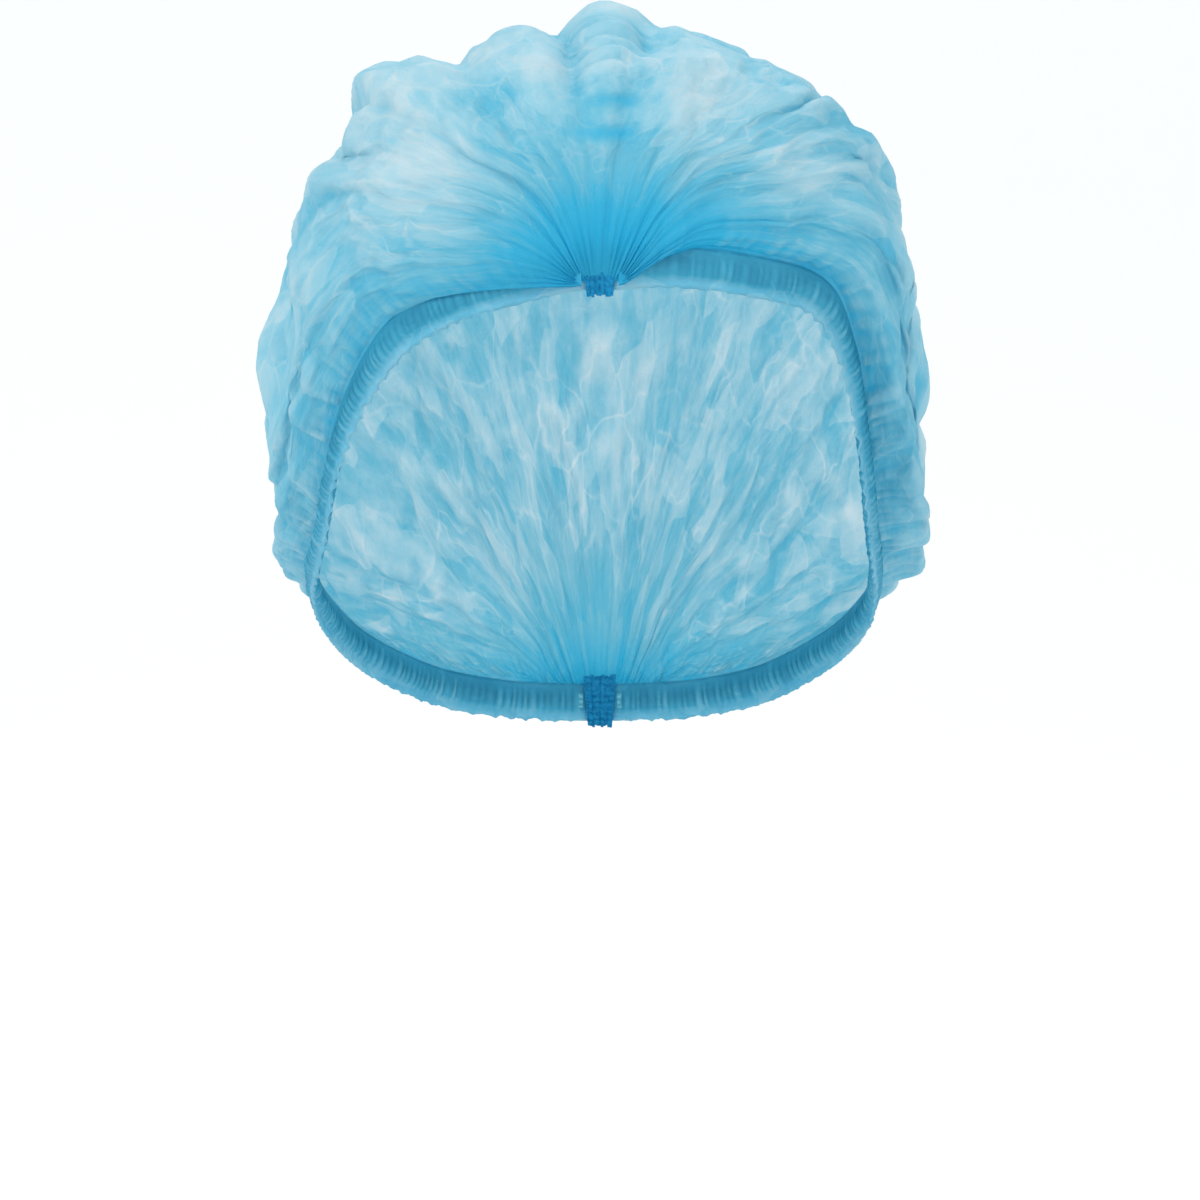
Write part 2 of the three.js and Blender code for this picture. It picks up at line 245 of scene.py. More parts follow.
def crown_point(share, place):
    """The smooth crown. Share runs from 0 at the left hem to 1 at the right hem."""
    foot_left = crown_foot(-1, place)
    foot_right = crown_foot(1, place)
    foot = foot_left + (foot_right - foot_left) * share[..., None]
    middle = (foot_left + foot_right) / 2
    over = weld_cover(1, place)[..., 0]
    arch = CROWN_FOOT - over * (CROWN_FOOT - WELD_COVER_FOOT)
    arch = arch + WELD_ARCH * (1 - COVER_FLATTENS * over)
    at = {name: column_at(RIDGE_LINE, name, place) for name in RIDGE_LINE}
    ridge_y = FRONT_Y + at["depth"] * OPENING_DEPTH - at["ahead"] * FRONT_PUFF
    ridge_y = ridge_y + at["behind"] * BACK_PUFF
    ridge_z = FRONT_Z + arch + at["rise"] * (CROWN_RISE - arch) - at["fall"] * OPENING_DROP
    rise_y = ridge_y - middle[..., 1]
    rise_z = ridge_z - middle[..., 2]
    on_left = share < 0.5
    side = np.where(on_left, -1.0, 1.0)
    hem_reach = np.abs(np.where(on_left, foot_left[..., 0], foot_right[..., 0]))
    reach = hem_reach + at["flare"] * CROWN_PUFF
    turn_at_hem = math.pi - np.arcsin(hem_reach / reach)
    turn = turn_at_hem * np.abs(2 * share - 1)
    power = 2 / CROWN_FULLNESS
    cos = np.cos(turn)
    sin = np.sin(turn)
    above = turn < math.pi / 2
    across = np.where(above, np.abs(sin) ** power, sin)
    upper = at["belly"] + (1 - at["belly"]) * np.abs(cos) ** power
    lower = at["belly"] * (1 - cos / np.cos(turn_at_hem))
    height = np.where(above, upper, lower)
    x = side * reach * across
    return np.stack([x, foot[..., 1] + rise_y * height, foot[..., 2] + rise_z * height], -1)


def crown_normal(share, place):
    share_step = 0.01
    place_step = 0.12
    right = crown_point(np.minimum(share + share_step, 1.0), place)
    left = crown_point(np.maximum(share - share_step, 0.0), place)
    behind = crown_point(share, np.minimum(place + place_step, LAST_ROW))
    ahead = crown_point(share, np.maximum(place - place_step, 0.0))
    return unit(np.cross(right - left, behind - ahead))


middle_top = crown_point(np.full(1, 0.5), np.full(1, LAST_ROW / 2))[0]
print(f"the smooth crown's middle is {middle_top[2]:.0f} mm up")

# %% [markdown]
# ## The crown's pleats
#
# The pleats could be painted as bump, but they make the cap's outline, so they are real shape. The
# main folds are puffed like the gores of a parachute: each bulges between two creases. Crumples are
# added on top. A crumple in thin stiff cloth is a patch that curves gently and ends at straight
# creases, which is what the squared distance to scattered points gives.

# %% Main folds
FOLD_HEIGHT = 8.5
VALLEY_DEPTH = 2.6
# Shares that are kept: of a valley's depth beside the hems, and of a fold's height at its ends
VALLEY_AT_HEMS = 0.4
FOLD_AT_ENDS = 0.15
# Powers: how pointed a fold's swell is, how round its bulge is, and how soon it rises from a weld
SWELL = 4
BULGE = 1.3
RISE = 0.8
WANDER = 2.5


def main_folds(share, place):
    """Height of the main folds above the smooth crown, creased between bulges."""
    way = place / LAST_ROW
    wander = WANDER * np.sin(2 * math.pi * way)[..., None]
    crest = FOLDS["share"] + FOLDS["drift"] * wander
    swell = np.cos(math.pi * (way[..., None] - FOLDS["swell"])) ** SWELL
    height = FOLD_HEIGHT * FOLDS["height"] * (FOLD_AT_ENDS + (1 - FOLD_AT_ENDS) * swell)
    crease = crest[..., :-1] + np.diff(crest) * FOLDS["crease"][:-1]
    crease = np.concatenate([0 * wander, crease, 0 * wander + 1], -1)
    gore = np.clip((share[..., None] >= crease).sum(-1) - 1, 0, crest.shape[-1] - 1)[..., None]

    def pick(values, index):
        return np.take_along_axis(values, index, -1)[..., 0]

    top = pick(crest, gore)
    end = np.where(share < top, pick(crease, gore), pick(crease, gore + 1))
    u = np.clip((share - top) / (end - top), 0, 1)
    strength = np.sin(math.pi * np.clip(way, 0, 1)) ** RISE
    valley = VALLEY_DEPTH * (VALLEY_AT_HEMS + (1 - VALLEY_AT_HEMS) * np.sin(math.pi * share))
    return ((pick(height, gore) + valley) * (1 - u**BULGE) - valley) * strength


print("main folds ready")


# %% Uneven waves
# Relative widths and heights of a row's waves, least and most, and the power that rounds their tops
WAVE_WIDTHS = (0.6, 1.5)
WAVE_HEIGHTS = (0.35, 1.0)
WAVE_ROUNDNESS = 1.8


def uneven_waves(phase, count, seed):
    """A row of rounded waves whose widths and heights differ, over a phase from 0 to 1."""
    draw = np.random.default_rng(seed)
    edges = np.cumsum(draw.uniform(*WAVE_WIDTHS, count))
    edges = np.concatenate([[0.0], edges / edges[-1]])
    tall = draw.uniform(*WAVE_HEIGHTS, count)
    index = np.clip(np.searchsorted(edges, np.clip(phase, 0, 1), side="right") - 1, 0, count - 1)
    u = (phase - edges[index]) / (edges[index + 1] - edges[index])
    return tall[index] * (1 - np.abs(2 * u - 1) ** WAVE_ROUNDNESS)


waves = uneven_waves(np.linspace(0, 1, 200), 10, 0)
print(f"ten uneven waves stand {waves.min():.2f} to {waves.max():.2f} high")


# %% Crumples
# The cloth as drawn, in millimetres: from hem to hem over the crown, and from weld to weld
SHEET_WIDTH = 300.0
SHEET_LENGTH = 340.0
# Creases bend by up to about this much, in features of this size
CREASE_BEND = 14
CREASE_BEND_SIZE = 40.0
# About the mean of a patch, which is taken off so that crumples neither swell nor shrink the crown
PATCH_MEAN = 0.3


def noise_at(points, size, seed):
    """Smooth noise from about -1 to 1 at points in millimetres, with features of the given size."""
    shift = Vector((seed * 7.3, seed * 3.1, seed * 5.7))
    return np.array([noise.noise(Vector(point) / size + shift) for point in points])


def patches(points, seed):
    """Squared distance to the nearest of scattered points, one to a unit cell, about 0 to 1."""
    shift = Vector((seed * 11.9, seed * 4.7, 0.5))
    return np.array([min(noise.voronoi(Vector(point) + shift)[0][0], 1.0) ** 2 for point in points])


def crumples(share, along, sets):
    """Sum of patch sets, each with its width, length along the pleats, height and seed."""
    flat = np.stack([share * SHEET_WIDTH, along * SHEET_LENGTH, 0 * share], -1)
    bends = [noise_at(flat, CREASE_BEND_SIZE, seed) for seed in (1, 2)]
    bend = np.stack([*bends, 0 * share], -1) * CREASE_BEND
    total = 0
    for width, length, height, seed in sets:
        total = total + height * (patches((flat + bend) / [width, length, 1.0], seed) - PATCH_MEAN)
    return total


print(f"the cloth is drawn {SHEET_WIDTH:.0f} mm wide and {SHEET_LENGTH:.0f} mm long")

# %% A sheet is a grid whose vertices are moved
COLUMNS = 150
ROWS = 150
# The rows are spaced evenly on the mean of three lines over the crown, measured in short steps
SPACING_SHARES = (0.15, 0.5, 0.85)
SPACING_STEPS = 600


def row_places(count):
    """Places of the grid's rows, so that they lie evenly along the cloth."""
    fine = np.linspace(0, LAST_ROW, SPACING_STEPS)
    lines = [crown_point(np.full(SPACING_STEPS, share), fine) for share in SPACING_SHARES]
    steps = sum(np.linalg.norm(np.diff(line, axis=0), axis=1) for line in lines)
    run = np.concatenate([[0], np.cumsum(steps)])
    return np.interp(np.linspace(0, run[-1], count + 1), run, fine)


def new_object(name, bm):
    """An object at the origin from a finished bmesh."""
    mesh = bpy.data.meshes.new(name)
    bm.to_mesh(mesh)
    bm.free()
    made = bpy.data.objects.new(name, mesh)
    bpy.context.scene.collection.objects.link(made)
    return made


def make_sheet(name, columns, rows, place_vertices):
    """A grid whose vertices are moved by place_vertices(across, along), which gives millimetres."""
    bm = bmesh.new()
    bmesh.ops.create_grid(bm, x_segments=columns, y_segments=rows, size=0.5)
    co = np.array([v.co for v in bm.verts])
    across, along = co[:, 0] + 0.5, co[:, 1] + 0.5
    points = place_vertices(across, along) * MM
    for vertex, point in zip(bm.verts, points):
        vertex.co = point
    return new_object(name, bm), across, along


ROW_PLACES = row_places(ROWS)
EDGE_COLUMN = 1.0 / COLUMNS
print(f"grid of {COLUMNS} by {ROWS} squares")


# %% Where a point lies on the crown
def crown_places(across, along):
    """Share and place on the smooth crown. The outermost columns are tucked into the hems."""
    place = np.interp(along, np.linspace(0, 1, ROWS + 1), ROW_PLACES)
    return np.clip((across - EDGE_COLUMN) / (1 - 2 * EDGE_COLUMN), 0, 1), place


def edge_distances(share, place):
    """Distance to the nearer weld and to the nearer hem, in millimetres."""
    smooth = crown_point(share, place)
    middle = np.full(1, 0.5)
    welds = [crown_point(middle, np.full(1, float(row)))[0] for row in (0, LAST_ROW)]
    hems = [crown_point(np.full_like(place, share_at), place) for share_at in (0.0, 1.0)]
    from_weld = np.min([np.linalg.norm(smooth - weld, axis=1) for weld in welds], axis=0)
    from_hem = np.min([np.linalg.norm(smooth - hem, axis=1) for hem in hems], axis=0)
    return from_weld, from_hem


def grown(distance, reach):
    """0 at an edge, growing evenly to 1 at this distance from it."""
    return np.clip(distance / reach, 0, 1)


print(f"a column of {EDGE_COLUMN:.1%} on each side is tucked into a hem")

# %% Gathers square to the hems
# At the front the hem is stretched: its gathers grow from this share to full over this length
STRETCHED_SHARE = 0.3
STRETCHED_LENGTH = 90.0
# Gathers sway along the hem by this share of its length
GATHER_SWAY = 0.006
# About the mean of a wave
WAVE_MEAN = 0.35
# Gathers fade towards the welds, and rise from the hem within this share of their reach
GATHERS_FROM_WELD = 25
GATHER_RISE = 0.2
# Count from weld to weld, height and reach above the hem
LARGE_GATHERS = (21, 1.8, 26.0)


def gathered_share(from_front):
    return STRETCHED_SHARE + (1 - STRETCHED_SHARE) * grown(from_front, STRETCHED_LENGTH)


def gathers(share, along, from_weld, from_hem, gather_set, seed):
    count, height, reach = gather_set
    on_right = share >= 0.5
    turn = from_hem * 0.11 + along * 31 + 2 * on_right
    sway = np.clip(along + GATHER_SWAY * np.sin(turn), 0, 1)
    left = uneven_waves(sway, count, seed)
    right = uneven_waves(sway, count, seed + 30)
    strength = grown(from_hem, GATHER_RISE * reach) * np.exp(-((from_hem / reach) ** 1.6))
    strength = strength * grown(from_weld, GATHERS_FROM_WELD)
    strength = strength * gathered_share(along * SHEET_LENGTH)
    return (np.where(on_right, right, left) - WAVE_MEAN) * height * strength


print(f"{LARGE_GATHERS[0]} large gathers on each side")

# %% The crown's first, coarse sheet
# Patch sets: width and length in millimetres, height of the creases round a patch, and seed
LARGE_CRUMPLES = ((36.0, 44.0, 6.0, 0), (22.0, 27.0, 2.8, 1))
# Crumples and buckles grow to full height over these distances from a weld and from a hem
CALM_FROM_WELD = 75
CALM_FROM_HEM = 45
FOLDS_FROM_HEM = 12


def place_crown(across, along):
    share, place = crown_places(across, along)
    from_weld, from_hem = edge_distances(share, place)
    free = grown(from_weld, CALM_FROM_WELD) * grown(from_hem, CALM_FROM_HEM)
    lift = main_folds(share, place) * grown(from_hem, FOLDS_FROM_HEM)
    lift = lift + gathers(share, along, from_weld, from_hem, LARGE_GATHERS, 11)
    lift = lift + crumples(share, along, LARGE_CRUMPLES) * free
    points = crown_point(share, place) + crown_normal(share, place) * lift[:, None]
    for side, tucked in ((-1, across < EDGE_COLUMN / 2), (1, across > 1 - EDGE_COLUMN / 2)):
        points[tucked] = hem_point(side, place[tucked], 0.0, TUCK_FOOT)
    return points


coarse_sheet, coarse_across, coarse_along = make_sheet("coarse_sheet", COLUMNS, ROWS, place_crown)
print(f"coarse sheet: {len(coarse_sheet.data.vertices)} vertices")

# %% [markdown]
# ## Letting the cloth buckle
#
# There is more cloth than the crown needs, so it buckles in both directions. That could be noise on
# the surface, but real buckles meet in ridges and dimples. Here Blender's cloth is told that its rest
# length is longer than the shape that it starts from, while the welds and hems hold it, and a little
# air pressure keeps it puffed. The simulation runs ten times larger, where the solver's usual settings
# behave. Only its buckles are kept: the swelling of the whole crown is taken off, and no point may
# move further than a cap.

# %% The grid's vertices as an array
def vertex_array(mesh):
    flat = np.empty(len(mesh.vertices) * 3, np.float32)
    mesh.vertices.foreach_get("co", flat)
    return flat.reshape(-1, 3).astype(float)


def set_vertices(mesh, points):
    mesh.vertices.foreach_set("co", points.astype(np.float32).ravel())
    mesh.update()


def averaged(grid, rounds):
    """Points on a grid, averaged with their neighbours a number of times."""
    for _ in range(rounds):
        padded = np.pad(grid, ((1, 1), (1, 1), (0, 0)), mode="edge")
        around = padded[:-2, 1:-1] + padded[2:, 1:-1] + padded[1:-1, :-2] + padded[1:-1, 2:]
        grid = (padded[1:-1, 1:-1] * 2 + around) / 6
    return grid


print(f"{len(vertex_array(coarse_sheet.data))} vertices read")

# %% The simulation
# How much longer than its start the cloth would lie at rest
GROW = 0.12
SIM_SCALE = 10.0
SIM_FRAMES = 14
# The most that a buckle moves a point, in millimetres
MOST_MOVE = 4.0
# Rounds of averaging that leave the swelling of the whole crown, which is taken off again
SWELL_ROUNDS = 60
# The cloth is held fast over this many columns or rows, and let go over this many more
HELD_ROWS = 1.5
LET_GO_ROWS = 4
# The share of a buckle that is kept right beside a hem or a weld
LEAST_KEPT = 0.3
# Light cloth that stretches little and bends a bit stiffly, grown by a negative shrinkage
CLOTH_SETTINGS = {
    "quality": 6,
    "mass": 0.3,
    "tension_stiffness": 20,
    "compression_stiffness": 20,
    "shear_stiffness": 8,
    "bending_stiffness": 0.8,
    "shrink_min": -GROW,
    "shrink_max": -GROW,
    "use_pressure": True,
    "uniform_pressure_force": 0.5,
    "vertex_group_mass": "held",
    "air_damping": 2,
}


def held_share(across, along):
    """1 on the welds and hems, falling to 0 a few columns and rows in."""
    edge = np.minimum(np.minimum(across, 1 - across) * COLUMNS, np.minimum(along, 1 - along) * ROWS)
    return np.clip(1 - (edge - HELD_ROWS) / LET_GO_ROWS, 0, 1)


def kept_share(across, along):
    """How much of the buckles is kept: less beside the hems and welds, which hold the cloth."""
    from_weld, from_hem = edge_distances(*crown_places(across, along))
    free = grown(from_hem, CALM_FROM_HEM) * grown(from_weld, CALM_FROM_WELD)
    return LEAST_KEPT + (1 - LEAST_KEPT) * free


def buckle(sheet, held, kept):
    """Simulates the sheet as cloth that has grown, and keeps the result in its mesh."""
    rest = vertex_array(sheet.data)
    group = sheet.vertex_groups.new(name="held")
    for index in np.nonzero(held > 0)[0]:
        group.add([int(index)], float(held[index]), "REPLACE")
    set_vertices(sheet.data, rest * SIM_SCALE)
    cloth = sheet.modifiers.new("cloth", "CLOTH")
    for setting, value in CLOTH_SETTINGS.items():
        setattr(cloth.settings, setting, value)
    cloth.settings.effector_weights.gravity = 0
    cloth.collision_settings.use_collision = False
    cloth.point_cache.frame_start = 1
    cloth.point_cache.frame_end = SIM_FRAMES
    for number in range(1, SIM_FRAMES + 1):
        bpy.context.scene.frame_set(number)
    depsgraph = bpy.context.evaluated_depsgraph_get()
    moved = vertex_array(sheet.evaluated_get(depsgraph).data) / SIM_SCALE
    sheet.modifiers.remove(cloth)
    bpy.context.scene.frame_set(1)
    move = (moved - rest).reshape(ROWS + 1, COLUMNS + 1, 3)
    move = (move - averaged(move, SWELL_ROUNDS)).reshape(-1, 3)
    length = np.linalg.norm(move, axis=1)
    limit = MOST_MOVE * MM
    capped = limit * np.tanh(length / limit)
    move *= (capped / np.maximum(length, TINY))[:, None]
    set_vertices(sheet.data, rest + move * (kept * (1 - held))[:, None])
    print(f"cloth moved {length.mean() / MM:.1f} mm on average, {length.max() / MM:.1f} mm at most")


spots = coarse_across, coarse_along
buckle(coarse_sheet, held_share(*spots), kept_share(*spots))

# %% [markdown]
# ## From the coarse sheet to the cloth that shows
#
# The simulation gives the large buckles. The cloth that shows is a grid twice as fine through the same
# points, and it carries what the solver is too coarse for: the fine pleats that fan out of each weld,
# the small gathers at the hems, small crumples, and the ridges that cross the middle fold above the
# front weld, where the stacked pleats are squeezed.

# %% A finer grid through the same points
def refined(grid):
    """Twice as fine a grid. Each new point is a blend of the four nearest on its line."""
    for _ in range(2):
        padded = np.concatenate([2 * grid[:1] - grid[1:2], grid, 2 * grid[-1:] - grid[-2:-1]])
        fine = np.empty((2 * len(grid) - 1,) + grid.shape[1:])
        fine[::2] = grid
        fine[1::2] = (9 * (grid[:-1] + grid[1:]) - padded[:-3] - padded[3:]) / 16
        grid = np.swapaxes(fine, 0, 1)
    return grid


FINE_SHAPE = (2 * ROWS + 1, 2 * COLUMNS + 1)
coarse_points = vertex_array(coarse_sheet.data) / MM
fine_points = refined(coarse_points.reshape(ROWS + 1, COLUMNS + 1, 3))
bpy.data.objects.remove(coarse_sheet)
print("fine grid of", FINE_SHAPE[0] * FINE_SHAPE[1], "points")

# %% Fine pleats, small gathers and small crumples
FINE_PLEATS = 28
FINE_PLEAT_HEIGHT = 0.8
FINE_PLEAT_REACH = 30.0
# The fine pleats rise over the first of these distances from a weld, and sway from the second on
PLEAT_RISE = 8
PLEAT_SWAY_FROM = 60
PLEAT_SWAY = 0.012
SMALL_CRUMPLES = ((14.0, 19.0, 3.4, 2), (9.0, 12.0, 1.3, 3), (5.5, 8.0, 0.9, 4))
# Small crumples start this far from a weld, and grow over these distances from a weld and a hem
CRUMPLES_START = 10
CRUMPLES_FROM_WELD = 60
CRUMPLES_FROM_HEM = 14
SMALL_GATHERS = (92, 1.5, 8.0)
# Ridges across the middle fold: pitch, height, and the shares of the cloth between which they lie,
# with the softness of these bounds
CROSS_PITCH = 7.5
CROSS_HEIGHT = 2.2
CROSS_SHARES = (0.475, 0.53, 0.02)
CROSS_ALONGS = (0.14, 0.36, 0.05)


def between(value, low, high, soft):
    """1 well between low and high, 0 outside, with soft edges."""
    return grown(value - low, soft) * grown(high - value, soft)


def fine_relief(across, along):
    share, place = crown_places(across, along)
    from_weld, from_hem = edge_distances(share, place)
    sway = PLEAT_SWAY * np.sin(place * 1.3 + share * 9) * grown(from_weld, PLEAT_SWAY_FROM)
    fine_height = FINE_PLEAT_HEIGHT * np.exp(-((from_weld / FINE_PLEAT_REACH) ** 1.5))
    total = uneven_waves(share + sway, FINE_PLEATS, 3) * fine_height * grown(from_weld, PLEAT_RISE)
    total = total + gathers(share, along, from_weld, from_hem, SMALL_GATHERS, 12)
    free = grown(from_weld - CRUMPLES_START, CRUMPLES_FROM_WELD) * grown(from_hem, CRUMPLES_FROM_HEM)
    total = total + crumples(share, along, SMALL_CRUMPLES) * free
    # Each ridge is tilted and bent by a few millimetres on its way across the fold
    tilt = 5.0 * np.sin(share * 40) + 3.0 * np.sin(share * 93 + 1)
    cross = uneven_waves(along + tilt / SHEET_LENGTH, int(SHEET_LENGTH / CROSS_PITCH), 7)
    where = between(share, *CROSS_SHARES) * between(along, *CROSS_ALONGS)
    return total + CROSS_HEIGHT * cross * where


def grid_normals(grid):
    """Outward normals of a grid of points."""
    return unit(np.cross(np.gradient(grid, axis=1), np.gradient(grid, axis=0)))


def place_fine(across, along):
    """The fine points, a little smoothed, with the relief on them. The edges stay in the hems."""
    smooth = averaged(fine_points, 3)
    smooth[:, :4], smooth[:, -4:] = fine_points[:, :4], fine_points[:, -4:]
    lift = fine_relief(across, along).reshape(FINE_SHAPE)
    lift[:, :2] = 0
    lift[:, -2:] = 0
    return (smooth + grid_normals(smooth) * lift[..., None]).reshape(-1, 3)


sizes = 2 * COLUMNS, 2 * ROWS
crown_cloth, crown_across, crown_along = make_sheet("crown_cloth", *sizes, place_fine)
print(f"crown cloth: {len(crown_cloth.data.vertices)} vertices")

# %% [markdown]
# ## How many layers lie over each other
#
# Where the pleats are packed, several layers lie over each other and the blue is deep. Where the
# crown is puffed there is one layer, and it looks pale and thin. Each vertex keeps a number from 0
# to 1 for this, made from its distance to the welds and hems. The same number carries painted shade
# and painted highlight: deeper in the hollows of folds and between gathers, paler on their crests.

# %% The layers attribute, with painted shade and painted highlight
# The cloth alone, and what is added at a weld and at a hem (more at the front), with their reach
ONE_LAYER = 0.39
AT_WELD = 0.48
AT_WELD_REACH = 28
AT_HEM = 0.14
AT_FRONT_HEM = 0.12
AT_HEM_REACH = 14
# Painted shade added in a fold's hollow, full at this depth in millimetres, with painted highlight
# on its crest; and painted highlight taken off on top of a gather, with painted shade between gathers
FOLD_SHADE = 0.14
FOLD_SHADE_DEPTH = 1.2
GATHER_HIGHLIGHT = 0.14
# The front counts fully from this far ahead of the middle
FRONT_REACH = 60
# Where the cloth lies thin or thick at the front: x, z, radius across, radius up, and how much
LAYER_PLACES = table_of(
    "x z radius_x radius_z amount",
    """
-47 92 18 20 -0.32
27 108 15 14 -0.26
52 90 11 8 -0.24
61 103 16 9 0.16
-29 101 7 16 0.16
-20 117 22 6 -0.22
4 113 9 2.6 0.16
4 107 9 2.2 0.3
2 98.5 8 2.4 0.34
-12 98 9 12 0.08
0 78 24 12 0.12
36 74 26 8 0.1
""",
)


def add_attribute(mesh, name, values):
    attribute = mesh.attributes.new(name, "FLOAT", "POINT")
    attribute.data.foreach_set("value", values.astype(np.float32))


def crown_layers_and_painted_light(sheet, across, along):
    points = vertex_array(sheet.data) / MM
    grid = points.reshape(FINE_SHAPE + (3,))
    inward = averaged(grid, 14) - grid
    depth = (inward * grid_normals(averaged(grid, 4))).sum(-1).ravel()
    share, place = crown_places(across, along)
    from_weld, from_hem = edge_distances(share, place)
    front = grown(-points[:, 1], FRONT_REACH)
    layers = ONE_LAYER + AT_WELD * np.exp(-((from_weld / AT_WELD_REACH) ** 1.6))
    layers = layers + (AT_HEM + AT_FRONT_HEM * front) * np.exp(-((from_hem / AT_HEM_REACH) ** 1.5))
    # Painted shade in the hollows of folds and painted highlight on their crests
    layers = layers + FOLD_SHADE * np.clip(depth / FOLD_SHADE_DEPTH, -1, 1)
    # Painted highlight on top of the small gathers and painted shade between them
    layers = layers - GATHER_HIGHLIGHT * gathers(share, along, from_weld, from_hem, SMALL_GATHERS, 12)
    for x, z, radius_x, radius_z, amount in zip(*LAYER_PLACES.values()):
        away = ((points[:, 0] - x) / radius_x) ** 2 + ((points[:, 2] - z) / radius_z) ** 2
        layers = layers + amount * np.exp(-away) * front
    return np.clip(layers, 0, 1)


add_attribute(crown_cloth.data, "layers", crown_layers_and_painted_light(crown_cloth, crown_across, crown_along))
print("layers attribute added to", crown_cloth.name)

# %% The flat strip's own coordinates, in metres, for patterns that run with the cloth
def add_flat_map(mesh, across, along, width, length):
    corners = np.empty(len(mesh.loops), np.int32)
    mesh.loops.foreach_get("vertex_index", corners)
    flat = np.stack([across * width, along * length], -1)[corners] * MM
    mesh.uv_layers.new(name="strip").data.foreach_set("uv", flat.astype(np.float32).ravel())


add_flat_map(crown_cloth.data, crown_across, crown_along, SHEET_WIDTH, SHEET_LENGTH)
print("strip coordinates added to", crown_cloth.name)

# %% [markdown]
# ## The hems
#
# Each long edge of the strip is folded round a flat elastic. The elastic pulls the hem to about half
# its length, so the casing is crimped into short ribs across the band and the free edge below it
# ruffles. A section swept along the rim would be smooth, so the sweep is a grid rolled into a tube,
# and the ribs are raised from it with uneven spacing.

# %% Hem tubes
HEM_STEPS = 1000
RIB_PITCH = 2.2
RUFFLE_PITCH = 5.0
RIB_HEIGHT = 0.9
RUFFLE_HEIGHT = 0.6
# About the means of the two kinds of wave, and the length over which both rise from a weld
RIB_MEAN = 0.4
RUFFLE_MEAN = 0.5
RIBS_FROM_END = 6
# How far each end of a hem runs on into the weld, how thin it is there, and over how many steps
HEM_END_TUCK = 2.6
HEM_END_THIN = 0.35
HEM_END_STEPS = 12
# The ribs lie on the casing: the height of its middle, and how far they reach from there. The
# ruffles lie on the free edge below this height.
CASING_MIDDLE = 5.6
CASING_REACH = 3.0
FREE_EDGE_TOP = 3.4
# The outside as points (out, up) in millimetres from the free edge up. The inside mirrors it.
HEM_OUTS = (0.25, 0.32, 0.4, 1.35, 1.8, 1.7, 1.1, 0.9, 0.55)
HEM_UPS = (0.0, 1.3, 2.6, 3.5, 5.2, 7.0, 8.6, 9.7, HEM_HEIGHT)
HEM_OUTSIDE = np.stack([HEM_OUTS, HEM_UPS], -1)
HEM_SECTION = np.concatenate([HEM_OUTSIDE, HEM_OUTSIDE[::-1] * [-1, 1]])
# How many layers show at these heights of the hem, and the painted highlight on top of a rib, with
# painted shade between the ribs
HEM_LAYERS = ((0, 2.4, 3.6, 7.5, HEM_HEIGHT), (0.24, 0.38, 0.68, 0.76, 0.6))
RIB_HIGHLIGHT = 0.5


def hem_lengths(side):
    """Places evenly spaced along the rim, and the rim's length in millimetres."""
    fine = np.linspace(0, LAST_ROW, 2 * SPACING_STEPS)
    line = rim_point(side, fine)
    run = np.concatenate([[0], np.cumsum(np.linalg.norm(np.diff(line, axis=0), axis=1))])
    return np.interp(np.linspace(0, run[-1], HEM_STEPS + 1), run, fine), run[-1]


def section_points(across):
    corner = np.round(across * len(HEM_SECTION)).astype(int) % len(HEM_SECTION)
    return HEM_SECTION[corner, 0], HEM_SECTION[corner, 1]


def on_casing(up):
    return np.exp(-(((up - CASING_MIDDLE) / CASING_REACH) ** 4))


def place_hem(side, across, along):
    places, length = hem_lengths(side)
    ribs = int(length / RIB_PITCH)
    ruffles = int(length / RUFFLE_PITCH)
    out, up = section_points(across)
    place = np.interp(along, np.linspace(0, 1, HEM_STEPS + 1), places)
    # The ribs slant by 0.3 mm to a millimetre of height, and some fork above the middle
    slant = along + 0.3 * (up - 5) / length
    low_rib = uneven_waves(slant, ribs, 21 + side)
    high_rib = uneven_waves(slant, ribs, 26 + side)
    rib = np.where(up < 6, low_rib, (low_rib + high_rib) / 2) - RIB_MEAN
    ruffle = uneven_waves(along, ruffles, 31 + side) - RUFFLE_MEAN
    free = np.clip(1 - up / FREE_EDGE_TOP, 0, 1)
    end = grown(np.minimum(along, 1 - along) * length, RIBS_FROM_END)
    end = end * gathered_share(along * length)
    out = out + np.sign(out) * rib * RIB_HEIGHT * on_casing(up) * end
    out = out + ruffle * RUFFLE_HEIGHT * 2 * free * end
    # The free edge also waves up and down, by these shares of the two waves
    up = up + (ruffle * 0.9 + rib * 0.35) * free * end
    from_end = np.minimum(along, 1 - along) * HEM_STEPS
    out = out * np.clip(from_end / HEM_END_STEPS, HEM_END_THIN, 1)
    points = hem_point(side, place, out[:, None], up[:, None])
    points[from_end < 0.5, 0] -= side * HEM_END_TUCK
    return points


